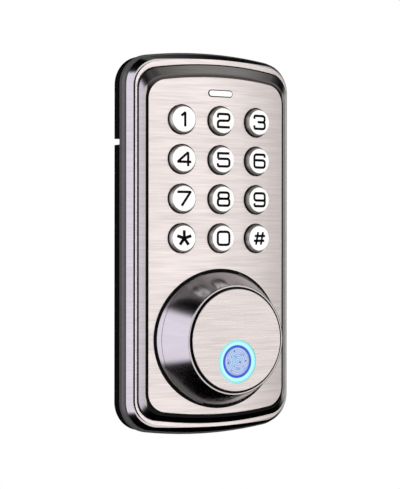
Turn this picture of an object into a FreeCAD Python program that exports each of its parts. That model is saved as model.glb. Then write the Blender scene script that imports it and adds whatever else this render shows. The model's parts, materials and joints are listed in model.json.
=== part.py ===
"""Keypad smart lock, outer unit: housing, keypad, turning knob and clutch.

Millimetres. The origin is on the knob's axis at the door face. The front
faces -Y, +Z is up and +Y points into the door.
"""
import FreeCAD, Part

import math
import os
from collections import namedtuple

Vec = FreeCAD.Vector

# ---------------------------------------------------------------- overall
body_half_width = 36.8
body_top = 111.7
body_bottom = -37.35
gasket_thickness = 3.7
cover_depth = 4.8
seal_thickness = 1.2
housing_height = 8.9
face_bow_radius = 165.0
ledge_bow_radius = 193.0
ledge_drop = 2.9
step_height = 0.8
outer_step_height = 1.25

# ---------------------------------------------------------------- outlines
# how far each edge stands in from the body's outline: side, top, bottom
ledge_outer_inset = (2.4, 2.45, 2.65)
ledge_inner_inset = (3.15, 4.45, 4.15)
pocket_inset = (5.5, 8.75, 6.9)
cavity_inset = (4.6, 7.5, 6.0)
plate_gap = 1.0
body_arch_radius = 185.0
body_corner_radius = 11.5
pocket_corner_radius = 8.6
# how far the rear cover and the gasket stand out from the body's outline
cover_outset = (0.6, 0.9, 1.1)
gasket_outset = (0.2, 0.7, 0.9)
# lean of each bevel, millimetres inward for each millimetre of height
outer_bevel_lean = (1.38, 0.49, 0.53)
inner_bevel_lean = (0.96, 2.2, 1.37)
bevel_corner_radius = 9.0
bevel_overrun = 1.3
bevel_samples = 13

# ---------------------------------------------------------------- walls
plate_thickness = 1.0
plate_sink = 0.4
seat_gap = 0.05
wall = 1.5
cover_plate = 1.6
cover_wall = 3.4
bead_round = 1.8
seal_inset = 0.7
seal_width = 2.8
door_opening_radius = 24.0
notch_height = 2.4
notch_depth = 2.6
notch_z = 76.65

# ---------------------------------------------------------------- keypad
key_columns = 3
key_rows = 4
key_pitch_x = 16.85
key_pitch_z = 15.3
first_row_z = 39.15
key_base_radius = 5.72
key_face_radius = 4.75
key_proud = 2.46
key_gap = 0.23
key_travel = 1.2
key_flange_gap = 0.4
key_flange_thickness = 0.8
pusher_radius = 2.5
pusher_length = 1.1
mat_gap = 0.35
mat_thickness = 0.8
mat_margin = 7.75
pad_radius = 3.0
board_thickness = 1.6
board_margin_x = 12.65
board_margin_low = 8.0
board_margin_high = 14.5
board_boss_radius = 2.0
board_boss_x = 27.0
board_screw_radius = 1.0
screw_ease = 0.02

# ---------------------------------------------------------------- status light
slot_z = 95.75
slot_length = 10.5
slot_height = 2.3
window_ease = 0.05
window_proud = 0.3
window_flange = 0.8
led_height = 1.2

# ---------------------------------------------------------------- knob
collar_proud = 0.35
collar_seal_thickness = 0.5
collar_seal_margin = 0.8
collar_spigot_radius = 23.9
collar_bore_radius = 12.3
plate_opening_gap = 0.1
knob_gap = 0.18
knob_rim_radius = 21.2
knob_lean = 0.44
knob_height = 12.4
shell_wall = 2.2
shell_top = 3.0
rim_round = 0.45
disc_radius = 19.7
disc_gap = 0.5
disc_thickness = 2.0
disc_proud = 0.9
sensor_z = -8.2
sensor_radius = 5.4
bezel_radius = 6.3
ring_radius = 8.3
sensor_ease = 0.05
ring_proud = 0.1
sensor_board_radius = 8.0
sensor_board_thickness = 1.0
sensor_pocket_depth = 1.2

# ---------------------------------------------------------------- spindle
spindle_radius = 8.0
spindle_bore_radius = 4.5
spindle_flange_radius = 15.2
spindle_flange_thickness = 1.6
run_clearance = 0.05
bush_radius = 10.0
bush_flange_radius = 12.0
bush_past_wall = 0.2
o_ring_radius = 9.2
o_ring_width = 1.2
clip_thickness = 0.7
clip_gap = 0.35
knob_screw_circle = 12.5
knob_screw_radius = 1.25
knob_screw_depth = 2.0

# ---------------------------------------------------------------- clutch
clutch_travel = 2.0
nut_travel = 4.0
spindle_end_y = -11.9
collar_length = 2.3
clutch_collar_radius = 8.6
groove_radius = 7.4
groove_width = 0.9
fork_thickness = 0.7
dog_length = 1.8
dog_half_width = 1.4
dog_ease = 0.2
square_half = 3.0
square_ease = 0.25
fork_half_width = 10.5
fork_inner_radius = 7.6
fork_top_z = 15.0
fork_bottom_z = -3.0
tab_thickness = 1.2
tab_half_width = 5.0
guide_x = 8.0
guide_z = 12.0
guide_radius = 1.0
motor_z = 20.0
motor_radius = 3.5
motor_length = 12.0
motor_wall_gap = 0.1425
lead_screw_radius = 1.4
nut_size = (5.0, 5.2, 5.2)
nut_pin_radius = 1.0
nut_rail_gap = 0.1
frame_plate = 1.0
frame_wall = 1.5
frame_reach = 11.0
frame_screw_radius = 1.0

# ---------------------------------------------------------------- tailpiece and fixings
journal_radius = 5.0
tail_flange_radius = 7.0
tail_flange_thickness = 1.1
blade_thickness = 2.6
blade_width = 8.0
blade_reach = 58.0
post_spacing = 38.0
post_radius = 4.2
post_flange_radius = 6.0
post_flange_thickness = 1.5
post_reach = 14.0
post_thread_radius = 2.1
grommet_radius = 3.5
grommet_wall = 1.2
grommet_lip = 0.8
grommet_x = -14.5
grommet_z = -12.5
rear_screw_radius = 1.5
rear_screw_head_radius = 2.8
rear_boss_radius = 3.2
rear_screw_length = 8.0
rear_screw_x = 27.2
rear_screw_inset_top = 13.2
rear_screw_inset_bottom = 16.4

# ---------------------------------------------------------------- levels along Y
cover_back_y = -gasket_thickness
cover_front_y = cover_back_y - cover_depth
cover_floor_y = cover_back_y - cover_plate
rim_y = cover_front_y - seal_thickness
apex_y = rim_y - housing_height
bow_axis_y = apex_y + face_bow_radius
ledge_axis_y = apex_y + ledge_drop + ledge_bow_radius
far = 40.0

Outline = namedtuple("Outline", "half_width top bottom arch corner")
body_outline = Outline(
    body_half_width, body_top, body_bottom, body_arch_radius, body_corner_radius
)


# ---------------------------------------------------------------- helpers
def inset(base, amounts, corner_loss=None):
    """The outline moved in by side, top and bottom amounts."""
    side, top, bottom = amounts
    loss = side if corner_loss is None else corner_loss
    return Outline(
        base.half_width - side,
        base.top - top,
        base.bottom + bottom,
        base.arch - (top + bottom) / 2,
        base.corner - loss,
    )


def outline_edges(shape, y):
    """Straight sides, arched top and bottom, and four round corners, in order."""
    side = shape.half_width
    corner = shape.corner
    corner_x = side - corner
    reach = shape.arch - corner
    drop = math.sqrt(reach**2 - corner_x**2)
    upper_centre = shape.top - shape.arch
    lower_centre = shape.bottom + shape.arch
    upper_corner_z = upper_centre + drop
    lower_corner_z = lower_centre - drop
    tip_x = corner_x * shape.arch / reach
    tip_rise = drop * shape.arch / reach
    diagonal = corner * math.sqrt(0.5)

    def at(x, z):
        return Vec(x, y, z)

    def arc(*points):
        return Part.Arc(*points).toShape()

    upper = at(tip_x, upper_centre + tip_rise)
    upper_left = at(-tip_x, upper_centre + tip_rise)
    lower = at(tip_x, lower_centre - tip_rise)
    lower_left = at(-tip_x, lower_centre - tip_rise)
    high = upper_corner_z + diagonal
    low = lower_corner_z - diagonal
    middle = corner_x + diagonal
    return [
        Part.LineSegment(at(side, lower_corner_z), at(side, upper_corner_z)).toShape(),
        arc(at(side, upper_corner_z), at(middle, high), upper),
        arc(upper, at(0, shape.top), upper_left),
        arc(upper_left, at(-middle, high), at(-side, upper_corner_z)),
        Part.LineSegment(at(-side, upper_corner_z), at(-side, lower_corner_z)).toShape(),
        arc(at(-side, lower_corner_z), at(-middle, low), lower_left),
        arc(lower_left, at(0, shape.bottom), lower),
        arc(lower, at(middle, low), at(side, lower_corner_z)),
    ]


def outline_wire(shape, y):
    return Part.Wire(outline_edges(shape, y))


def slab(shape, y0, y1):
    """The outline as a straight block from y0 to y1."""
    return Part.Face(outline_wire(shape, y0)).extrude(Vec(0, y1 - y0, 0))


def loft(shape0, y0, shape1, y1):
    return Part.makeLoft([outline_wire(shape0, y0), outline_wire(shape1, y1)], True, True)


def bow(radius, axis_y=bow_axis_y):
    """Everything behind an upright cylindrical surface."""
    height = body_top - body_bottom + far
    return Part.makeCylinder(radius, height, Vec(0, axis_y, body_bottom - far / 2), Vec(0, 0, 1))


def rod(radius, y0, y1, x=0.0, z=0.0):
    return Part.makeCylinder(radius, y1 - y0, Vec(x, y0, z), Vec(0, 1, 0))


def tube(outer, inner, y0, y1, x=0.0, z=0.0):
    return rod(outer, y0, y1, x, z).cut(rod(inner, y0, y1, x, z))


def cone(radius0, radius1, y0, y1, x=0.0, z=0.0):
    return Part.makeCone(radius0, radius1, y1 - y0, Vec(x, y0, z), Vec(0, 1, 0))


def block(x0, x1, y0, y1, z0, z1):
    return Part.makeBox(x1 - x0, y1 - y0, z1 - z0, Vec(x0, y0, z0))


def stadium(length, height, y0, y1, z):
    """A round-ended bar lying along X."""
    half = length / 2 - height / 2
    middle = block(-half, half, y0, y1, z - height / 2, z + height / 2)
    ends = [rod(height / 2, y0, y1, x, z) for x in (-half, half)]
    return middle.multiFuse(ends).removeSplitter()


def turned(points, base=Vec(0, 0, 0), axis=Vec(0, 1, 0)):
    """Solid of revolution about an axis, from (radius, distance along it) points."""
    side = axis.cross(Vec(0, 0, 1))
    corners = [base + side * r + axis * t for r, t in points]
    face = Part.Face(Part.makePolygon(corners + [corners[0]]))
    return face.revolve(base, axis, 360)


def surface_y(radius, x, axis_y=bow_axis_y):
    """Depth of a bowed surface at distance x from the middle."""
    return axis_y - math.sqrt(radius**2 - x**2)


def joined(shapes):
    return shapes[0].multiFuse(shapes[1:]).removeSplitter()


def rounded(shape, radius, picked):
    """The shape with the edges that picked(edge) accepts rounded."""
    return shape.makeFillet(radius, [edge for edge in shape.Edges if picked(edge)])


# ---------------------------------------------------------------- places
key_names = ("star", "0", "hash", "7", "8", "9", "4", "5", "6", "1", "2", "3")
wall_front = face_bow_radius - plate_thickness
wall_back = wall_front - wall
pocket_outline = inset(body_outline, pocket_inset, body_corner_radius - pocket_corner_radius)
plate_outline = inset(pocket_outline, [plate_gap] * 3)
cover_outline = inset(body_outline, [-a for a in cover_outset])
gasket_outline = inset(body_outline, [-a for a in gasket_outset])
keypad_top_z = first_row_z + (key_rows - 1) * key_pitch_z
keypad_half_width = (key_columns - 1) / 2 * key_pitch_x
rear_screw_places = [
    (side * rear_screw_x, z)
    for side in (-1, 1)
    for z in (body_bottom + rear_screw_inset_bottom, body_top - rear_screw_inset_top)
]
board_screw_places = [
    (side * board_boss_x, first_row_z + (row + 0.5) * key_pitch_z)
    for side in (-1, 1)
    for row in (0, key_rows - 2)
]


def key_place(index):
    """Centre on the face and inward direction of one key."""
    column = index % key_columns - (key_columns - 1) / 2
    row = index // key_columns
    angle = column * key_pitch_x / face_bow_radius
    centre = Vec(
        face_bow_radius * math.sin(angle),
        bow_axis_y - face_bow_radius * math.cos(angle),
        first_row_z + row * key_pitch_z,
    )
    return centre, Vec(-math.sin(angle), math.cos(angle), 0)


key_places = [key_place(index) for index in range(key_columns * key_rows)]
key_hole_radius = key_base_radius + key_gap
# the flange ends midway between the key's side and the next key's half
key_flange_radius = (key_base_radius + key_pitch_z / 2) / 2
key_flange_start = plate_thickness + wall + key_flange_gap
key_flange_end = key_flange_start + key_flange_thickness
key_length = key_flange_end + pusher_length

# depth of the lowest pressed pusher, which sets where the mat lies
outer_centre, outer_inward = key_places[0]
pressed_y = outer_centre.y + (key_length + key_travel) * outer_inward.y
pressed_low_y = pressed_y + pusher_radius * abs(outer_inward.x)
mat_front_y = pressed_low_y + mat_gap + 0.3
board_front_y = mat_front_y + mat_thickness
board_back_y = board_front_y + board_thickness

knob_back_y = apex_y - collar_proud - knob_gap
disc_front_y = knob_back_y - knob_height
disc_back_y = disc_front_y + disc_thickness
rim_front_y = disc_front_y + disc_proud
shell_plate_back_y = disc_back_y + shell_top
spindle_flange_back_y = shell_plate_back_y + spindle_flange_thickness
bush_back_y = apex_y + plate_thickness + wall + bush_past_wall
clip_y = bush_back_y + clip_gap
collar_front_y = spindle_end_y + 0.1
groove_y = collar_front_y + 0.7
motor_far_x = frame_reach + frame_wall + motor_length
motor_y = surface_y(wall_back, motor_far_x) + motor_wall_gap + motor_radius
frame_floor_y = motor_y + motor_radius


# ---------------------------------------------------------------- housings
def front_housing():
    top_of_bevel = (apex_y + ledge_drop + outer_step_height) - rim_y
    lean = [a * -top_of_bevel for a in outer_bevel_lean]
    outer_bevel = loft(
        body_outline, rim_y,
        inset(body_outline, lean, 4.0), rim_y + top_of_bevel,
    ).common(bow(ledge_bow_radius - outer_step_height, ledge_axis_y))
    ledge_outer = inset(body_outline, ledge_outer_inset, 2.0)
    ledge = slab(ledge_outer, apex_y, rim_y).common(bow(ledge_bow_radius, ledge_axis_y))
    ledge_inner = inset(body_outline, ledge_inner_inset, 3.3)
    raised = raised_block(ledge_inner).common(bow(face_bow_radius - plate_sink))
    solid = joined([outer_bevel, ledge, raised])

    pocket = slab(pocket_outline, apex_y - 5, rim_y).cut(bow(wall_front))
    cavity = slab(inset(body_outline, cavity_inset, 4.5), apex_y - 5, rim_y)
    solid = solid.cut(pocket).cut(cavity.common(bow(wall_back)))
    bosses = [rod(board_boss_radius, apex_y, board_front_y, x, z) for x, z in board_screw_places]
    bosses += [rod(rear_boss_radius, apex_y, cover_floor_y, x, z) for x, z in rear_screw_places]
    solid = joined([solid] + [boss.common(bow(wall_back + wall / 2)) for boss in bosses])
    for x, z in board_screw_places:
        solid = solid.cut(rod(board_screw_radius + screw_ease, board_front_y - 2.6, 0, x, z))
    for x, z in rear_screw_places:
        solid = solid.cut(rod(rear_screw_radius + screw_ease, rear_tip_y - 0.5, 0, x, z))
    solid = solid.cut(face_holes())
    return solid.cut(rod(bush_radius, apex_y - 5, 0))


def raised_block(foot_outline):
    """Foot and inner bevel, both following the bow, and the block inside them."""
    foot_radius = ledge_bow_radius + step_height
    top_radius = face_bow_radius - plate_sink
    side, top, bottom = ledge_inner_inset
    side_x = body_half_width - side
    rise_side = surface_y(foot_radius, side_x, ledge_axis_y) - surface_y(top_radius, side_x)
    rise_middle = surface_y(foot_radius, 0, ledge_axis_y) - surface_y(top_radius, 0)
    top_insets = (
        side + rise_side * inner_bevel_lean[0],
        top + rise_middle * inner_bevel_lean[1],
        bottom + rise_middle * inner_bevel_lean[2],
    )
    top_outline = inset(body_outline, top_insets, body_corner_radius - bevel_corner_radius)
    feet = points_on_bow(foot_outline, foot_radius, ledge_axis_y)
    tops = points_on_bow(top_outline, top_radius, bow_axis_y)
    beyond = [
        [foot + (high - foot) * bevel_overrun for foot, high in zip(lower, upper)]
        for lower, upper in zip(feet, tops)
    ]
    rings = [flattened(feet, rim_y), feet, beyond, flattened(beyond, apex_y - 5)]
    edges = [[smooth_edge(points) for points in ring] for ring in rings]
    faces = [Part.makeRuledSurface(*pair) for low, high in zip(edges, edges[1:]) for pair in zip(low, high)]
    faces += [Part.Face(Part.Wire(edges[0])), Part.Face(Part.Wire(edges[-1]))]
    shell = Part.Shell(faces)
    shell.sewShape()
    block = Part.Solid(shell)
    return block if block.Volume > 0 else block.reversed()


def points_on_bow(outline, radius, axis_y):
    """Points along each edge of an outline, laid on a bowed surface."""
    return [
        [Vec(p.x, surface_y(radius, p.x, axis_y), p.z) for p in edge.discretize(bevel_samples)]
        for edge in outline_edges(outline, 0)
    ]


def flattened(ring, y):
    return [[Vec(p.x, y, p.z) for p in points] for points in ring]


def smooth_edge(points):
    """A straight edge where the points are in line, otherwise a spline through them."""
    span = points[-1] - points[0]
    off_line = max((p - points[0]).cross(span).Length for p in points) / span.Length
    if off_line < 0.001:
        return Part.LineSegment(points[0], points[-1]).toShape()
    curve = Part.BSplineCurve()
    curve.interpolate(points)
    return curve.toShape()


def face_holes():
    """Key holes and status slot, through the face plate and the wall behind it."""
    holes = []
    for centre, inward in key_places:
        holes.append(Part.makeCylinder(key_hole_radius, 12, centre - inward * 4, inward))
    holes.append(stadium(slot_length, slot_height, apex_y - 5, apex_y + 6, slot_z))
    return joined(holes)


def face_plate():
    plate = slab(plate_outline, apex_y - 5, rim_y)
    plate = plate.common(bow(face_bow_radius)).cut(bow(wall_front + seat_gap))
    opening = rod(collar_spigot_radius + plate_opening_gap, apex_y - 5, 0)
    return plate.cut(opening).cut(face_holes())


def rear_cover():
    tray = slab(cover_outline, cover_front_y, cover_back_y)
    outer_edges = [edge for edge in tray.Edges if not crosses_depth(edge)]
    tray = tray.makeFillet(bead_round, outer_edges)
    hollow = inset(cover_outline, [cover_wall] * 3)
    tray = tray.cut(slab(hollow, cover_front_y - 1, cover_floor_y))
    tray = tray.cut(rod(journal_radius + run_clearance, cover_floor_y - 1, 0))
    for side in (-1, 1):
        tray = tray.cut(rod(post_radius, cover_floor_y - 1, 0, side * post_spacing / 2))
    tray = tray.cut(rod(grommet_radius, cover_floor_y - 1, 0, grommet_x, grommet_z))
    for x, z in rear_screw_places:
        tray = tray.cut(rod(rear_screw_radius + 0.2, cover_floor_y - 1, 0, x, z))
        tray = tray.cut(rear_screw_head(x, z))
    for x, z in frame_screw_places:
        tray = tray.cut(rod(frame_screw_radius + screw_ease, cover_floor_y - 1, cover_floor_y + 1.2, x, z))
    return tray


def crosses_depth(edge):
    return edge.BoundBox.YLength > 1e-6


def housing_seal():
    outer = slab(inset(body_outline, [seal_inset] * 3), rim_y, cover_front_y)
    inner = slab(inset(body_outline, [seal_inset + seal_width] * 3), rim_y, cover_front_y)
    return outer.cut(inner)


def door_gasket():
    pad = slab(gasket_outline, cover_back_y, 0)
    pad = pad.cut(rod(door_opening_radius, cover_back_y - 1, 1))
    notch = block(
        -gasket_outline.half_width - 1, notch_depth - gasket_outline.half_width,
        cover_back_y - 1, 1,
        notch_z - notch_height / 2, notch_z + notch_height / 2,
    )
    return pad.cut(notch)


# ---------------------------------------------------------------- keypad
def key(centre, inward):
    profile = [
        (0, -key_proud),
        (key_face_radius, -key_proud),
        (key_base_radius, 0),
        (key_base_radius, key_flange_start),
        (key_flange_radius, key_flange_start),
        (key_flange_radius, key_flange_end),
        (pusher_radius, key_flange_end),
        (pusher_radius, key_length),
        (0, key_length),
    ]
    solid = turned(profile, centre, inward)
    front = centre - inward * key_proud

    def on_front(edge):
        return edge.BoundBox.Center.distanceToPoint(front) < 0.01

    return rounded(solid, 0.5, on_front)


def key_mat():
    half = keypad_half_width + mat_margin
    sheet = block(
        -half, half, mat_front_y, board_front_y,
        first_row_z - mat_margin, keypad_top_z + mat_margin,
    )
    pads = []
    for centre, inward in key_places:
        tip = centre + inward * (key_length + key_travel)
        front = tip.y + pusher_radius * abs(inward.x) + mat_gap
        pads.append(rod(pad_radius, front, board_front_y, tip.x, tip.z))
    return joined([sheet] + pads)


def keypad_board():
    half = keypad_half_width + board_margin_x
    board = block(
        -half, half, board_front_y, board_back_y,
        first_row_z - board_margin_low, keypad_top_z + board_margin_high,
    )
    for x, z in board_screw_places:
        board = board.cut(rod(board_screw_radius + 0.1, board_front_y, board_back_y, x, z))
    for x, z in rear_screw_places:
        board = board.cut(rod(rear_boss_radius + 0.3, board_front_y, board_back_y, x, z))
    return board


def board_screws():
    screws = []
    for x, z in board_screw_places:
        shank = rod(board_screw_radius, board_front_y - 2.4, board_back_y, x, z)
        head = rod(2 * board_screw_radius, board_back_y, board_back_y + 1.2, x, z)
        screws.append(shank.fuse(head))
    return Part.makeCompound(screws)


def buzzer():
    can = rod(4.5, board_back_y, board_back_y + 2.4, -14.0, keypad_top_z + 5)
    return can.cut(rod(0.8, board_back_y + 1.2, board_back_y + 3, -14.0, keypad_top_z + 5))


def harness_socket():
    shell = block(-5, 5, board_back_y, board_back_y + 2.3, first_row_z - 4, first_row_z + 1)
    hollow = block(-4.2, 4.2, board_back_y + 0.8, board_back_y + 4, first_row_z - 3.2, first_row_z + 0.2)
    return shell.cut(hollow)


def status_window():
    length = slot_length - 2 * window_ease
    height = slot_height - 2 * window_ease
    wall_back_y = apex_y + plate_thickness + wall
    lip_front = wall_back_y + 0.3
    front = stadium(length, height, apex_y - window_proud, lip_front, slot_z)
    lip = stadium(length + 1.6, height + 1.6, lip_front, lip_front + window_flange, slot_z)
    pipe = stadium(length - 4, height - 1, wall_back_y, board_front_y - led_height - 0.2, slot_z)
    front = rounded(front, 0.25, lambda e: e.BoundBox.YMax < apex_y - window_proud + 0.01)
    return joined([front, lip, pipe])


def status_led():
    return block(-1.6, 1.6, board_front_y - led_height, board_front_y, slot_z - 0.8, slot_z + 0.8)


# ---------------------------------------------------------------- knob
def flank_radius(y):
    """Radius of the cone that the knob and its collar share."""
    return knob_rim_radius + knob_lean * (y - rim_front_y)


def flank(y0, y1, margin=0.0):
    return cone(flank_radius(y0) + margin, flank_radius(y1) + margin, y0, y1)


def knob_collar():
    front_y = apex_y - collar_proud
    seat = face_bow_radius + collar_seal_thickness + seat_gap
    skirt = flank(front_y, rim_y).cut(bow(seat))
    spigot = rod(collar_spigot_radius, front_y, rim_y).cut(bow(wall_front + seat_gap))
    return joined([skirt, spigot]).cut(rod(collar_bore_radius, apex_y - 5, 0))


def collar_seal():
    front_y = apex_y - collar_seal_thickness
    ring = flank(front_y, rim_y, collar_seal_margin).common(bow(face_bow_radius + collar_seal_thickness))
    ring = ring.cut(bow(face_bow_radius + seat_gap))
    return ring.cut(rod(collar_spigot_radius + plate_opening_gap, apex_y - 5, 0))


def knob_bush():
    inner = spindle_radius + run_clearance
    flange = tube(bush_flange_radius, inner, apex_y, rim_y).cut(bow(wall_front + seat_gap))
    barrel = tube(bush_radius - screw_ease, inner, apex_y, bush_back_y)
    groove_mid = (apex_y + bush_back_y) / 2
    groove = rod(o_ring_radius, groove_mid - o_ring_width / 2, groove_mid + o_ring_width / 2)
    return joined([flange, barrel]).cut(groove)


def spindle_o_ring():
    middle = (apex_y + bush_back_y) / 2
    start = middle - o_ring_width / 2
    return tube(o_ring_radius, spindle_radius + run_clearance, start, start + o_ring_width)


def knob_shell():
    inner_base = flank_radius(knob_back_y) - shell_wall
    inner_top = flank_radius(shell_plate_back_y) - shell_wall
    body = flank(rim_front_y, knob_back_y)
    body = rounded(body, rim_round, lambda e: crosses_width(e) and e.BoundBox.YMax < rim_front_y + 0.01)
    body = body.cut(cone(inner_top, inner_base, shell_plate_back_y, knob_back_y))
    body = body.cut(rod(disc_radius + disc_gap, rim_front_y - 1, disc_back_y))
    pocket_radius = sensor_board_radius + 0.4
    body = body.cut(rod(pocket_radius, disc_back_y - 1, disc_back_y + sensor_pocket_depth, 0, sensor_z))
    body = body.cut(rod(1.2, disc_back_y, shell_plate_back_y, 0, -spindle_bore_radius + 1.5))
    for x, z in knob_screw_places:
        body = body.cut(rod(
            knob_screw_radius + screw_ease,
            shell_plate_back_y - knob_screw_depth, shell_plate_back_y, x, z,
        ))
    return body


def crosses_width(edge):
    return edge.BoundBox.XLength > 1.0 and edge.BoundBox.YLength < 0.01


knob_screw_places = [
    (
        knob_screw_circle * math.cos(math.radians(angle)),
        knob_screw_circle * math.sin(math.radians(angle)),
    )
    for angle in (90, 210, 330)
]


def knob_face():
    disc = rod(disc_radius, disc_front_y, disc_back_y)
    disc = rounded(disc, 0.25, lambda e: crosses_width(e) and e.BoundBox.YMax < disc_front_y + 0.01)
    return disc.cut(rod(ring_radius + sensor_ease, disc_front_y - 1, 0, 0, sensor_z))


def sensor_ring():
    front = disc_front_y - ring_proud
    ring = tube(ring_radius, bezel_radius + sensor_ease, front, disc_back_y, 0, sensor_z)
    return rounded(ring, 0.2, lambda e: crosses_width(e) and e.BoundBox.YMax < front + 0.01)


def sensor_bezel():
    front = disc_front_y + 0.1
    return tube(bezel_radius, sensor_radius + sensor_ease, front, disc_back_y, 0, sensor_z)


def fingerprint_sensor():
    return rod(sensor_radius, disc_front_y + 0.15, disc_back_y, 0, sensor_z)


def sensor_board():
    back = disc_back_y + sensor_pocket_depth
    return rod(sensor_board_radius, back - sensor_board_thickness, back, 0, sensor_z)


def knob_spindle():
    flange = rod(spindle_flange_radius, shell_plate_back_y, spindle_flange_back_y)
    barrel = rod(spindle_radius, shell_plate_back_y, spindle_end_y)
    solid = joined([flange, barrel]).cut(rod(spindle_bore_radius, shell_plate_back_y, spindle_end_y))
    for x, z in knob_screw_places:
        solid = solid.cut(rod(
            knob_screw_radius + screw_ease, shell_plate_back_y, spindle_flange_back_y, x, z,
        ))
    groove = tube(
        spindle_radius + 1, spindle_radius - 0.8, clip_y - 0.05, clip_y + clip_thickness + 0.05
    )
    slot = block(
        -spindle_radius - 1, spindle_radius + 1,
        spindle_end_y - dog_length, spindle_end_y + 1,
        -dog_half_width - dog_ease, dog_half_width + dog_ease,
    )
    return solid.cut(groove).cut(slot)


def knob_screws():
    screws = []
    for x, z in knob_screw_places:
        shank = rod(
            knob_screw_radius, shell_plate_back_y - knob_screw_depth + 0.2, spindle_flange_back_y, x, z
        )
        head = rod(2.2, spindle_flange_back_y, spindle_flange_back_y + 1.4, x, z)
        screws.append(shank.fuse(head))
    return Part.makeCompound(screws)


def knob_retaining_ring():
    inner = spindle_radius - 0.75
    ring = tube(spindle_radius + 1.8, inner, clip_y, clip_y + clip_thickness)
    gap = block(-inner * 0.6, inner * 0.6, clip_y, clip_y + clip_thickness, -spindle_radius * 2, 0)
    return ring.cut(gap)


# ---------------------------------------------------------------- clutch
def clutch_collar():
    back = collar_front_y + collar_length
    ring = rod(clutch_collar_radius, collar_front_y, back)
    ring = ring.cut(tube(clutch_collar_radius + 1, groove_radius, groove_y, groove_y + groove_width))
    dogs = [
        block(
            x0, x0 + 2.7, spindle_end_y - dog_length + 0.1, collar_front_y,
            -dog_half_width, dog_half_width,
        )
        for x0 in (spindle_bore_radius + 0.4, -spindle_bore_radius - 3.1)
    ]
    hole = square_half + square_ease
    solid = joined([ring] + dogs)
    return solid.cut(block(-hole, hole, collar_front_y - 3, back + 1, -hole, hole))


def clutch_fork():
    y0 = groove_y + (groove_width - fork_thickness) / 2
    y1 = y0 + fork_thickness
    plate = block(-fork_half_width, fork_half_width, y0, y1, fork_bottom_z, fork_top_z)
    plate = plate.cut(rod(fork_inner_radius, y0, y1))
    plate = plate.cut(block(-fork_inner_radius, fork_inner_radius, y0, y1, fork_bottom_z, 0))
    for side in (-1, 1):
        plate = plate.cut(rod(guide_radius + run_clearance, y0, y1, side * guide_x, guide_z))
    tab = block(
        -tab_half_width, tab_half_width,
        motor_y - clutch_travel - 2.0, motor_y + 2.0,
        fork_top_z, fork_top_z + tab_thickness,
    )
    return joined([plate, tab]).cut(fork_slot())


def fork_slot():
    """Slanted slot: the nut's pin moves along X and pushes the fork along Y."""
    radius = nut_pin_radius + run_clearance
    half = nut_travel / 2
    ends = [Vec(-half, motor_y, fork_top_z), Vec(half, motor_y - clutch_travel, fork_top_z)]
    rods = [Part.makeCylinder(radius, tab_thickness, end, Vec(0, 0, 1)) for end in ends]
    along = (ends[1] - ends[0]).normalize()
    across = Vec(-along.y, along.x, 0) * radius
    corners = [ends[0] + across, ends[1] + across, ends[1] - across, ends[0] - across]
    face = Part.Face(Part.makePolygon(corners + [corners[0]]))
    return joined(rods + [face.extrude(Vec(0, 0, tab_thickness))])


def clutch_nut():
    x_size, y_size, z_size = nut_size
    x = -nut_travel / 2
    body = block(
        x - x_size / 2, x + x_size / 2,
        motor_y - y_size / 2, motor_y + y_size / 2,
        motor_z - z_size / 2, motor_z + z_size / 2,
    )
    bore = Part.makeCylinder(
        lead_screw_radius + run_clearance, x_size, Vec(x - x_size / 2, motor_y, motor_z), Vec(1, 0, 0)
    )
    pin_low = fork_top_z + 0.15
    pin = Part.makeCylinder(
        nut_pin_radius, motor_z - z_size / 2 - pin_low + 0.2, Vec(x, motor_y, pin_low), Vec(0, 0, 1)
    )
    return joined([body, pin]).cut(bore)


def lead_screw():
    start = -frame_reach - 1.0
    thread = Part.makeCylinder(
        lead_screw_radius, 2 * frame_reach + 0.5, Vec(-frame_reach + 0.25, motor_y, motor_z), Vec(1, 0, 0)
    )
    neck = lead_screw_radius - 0.3
    journal = Part.makeCylinder(neck, 2 * frame_reach + 3.0, Vec(start, motor_y, motor_z), Vec(1, 0, 0))
    thread = thread.common(block(-frame_reach + 0.2, frame_reach - 0.2, -far, 0, 0, 2 * far))
    return joined([thread, journal])


def clutch_motor():
    start = -frame_reach - frame_wall - motor_length
    can = Part.makeCylinder(motor_radius, motor_length, Vec(start, motor_y, motor_z), Vec(1, 0, 0))
    end_bell = Part.makeCylinder(
        motor_radius - 1.2, 1.2, Vec(start - 1.2, motor_y, motor_z), Vec(1, 0, 0)
    )
    return joined([can, end_bell])


frame_low_z = fork_top_z + tab_thickness + 0.3
frame_high_z = motor_z + motor_radius + 1.2
frame_start_x = -frame_reach - frame_wall - motor_length
frame_screw_places = [(frame_start_x + 3, frame_high_z + 2.5), (frame_reach - 1, frame_high_z + 2.5)]


def clutch_frame():
    plate = block(
        frame_start_x, frame_reach + frame_wall, frame_floor_y, cover_floor_y, frame_low_z, frame_high_z
    )
    ears = [
        block(x - 2.5, x + 2.5, frame_floor_y, cover_floor_y, frame_high_z - 1, z + 2.5)
        for x, z in frame_screw_places
    ]
    walls = [
        block(x, x + frame_wall, motor_y - 3.4, frame_floor_y, frame_low_z, frame_high_z)
        for x in (-frame_reach - frame_wall, frame_reach)
    ]
    rail_front = motor_y + nut_size[1] / 2 + nut_rail_gap
    rail = block(-frame_reach, frame_reach, rail_front, frame_floor_y, motor_z - 2, motor_z + 2)
    solid = joined([plate, rail] + walls + ears)
    shaft = Part.makeCylinder(
        lead_screw_radius - 0.3 + run_clearance, 4 * frame_reach,
        Vec(-2 * frame_reach, motor_y, motor_z), Vec(1, 0, 0),
    )
    solid = solid.cut(shaft)
    for x, z in frame_screw_places:
        solid = solid.cut(rod(frame_screw_radius + 0.1, frame_floor_y, cover_floor_y, x, z))
    return solid


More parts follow.
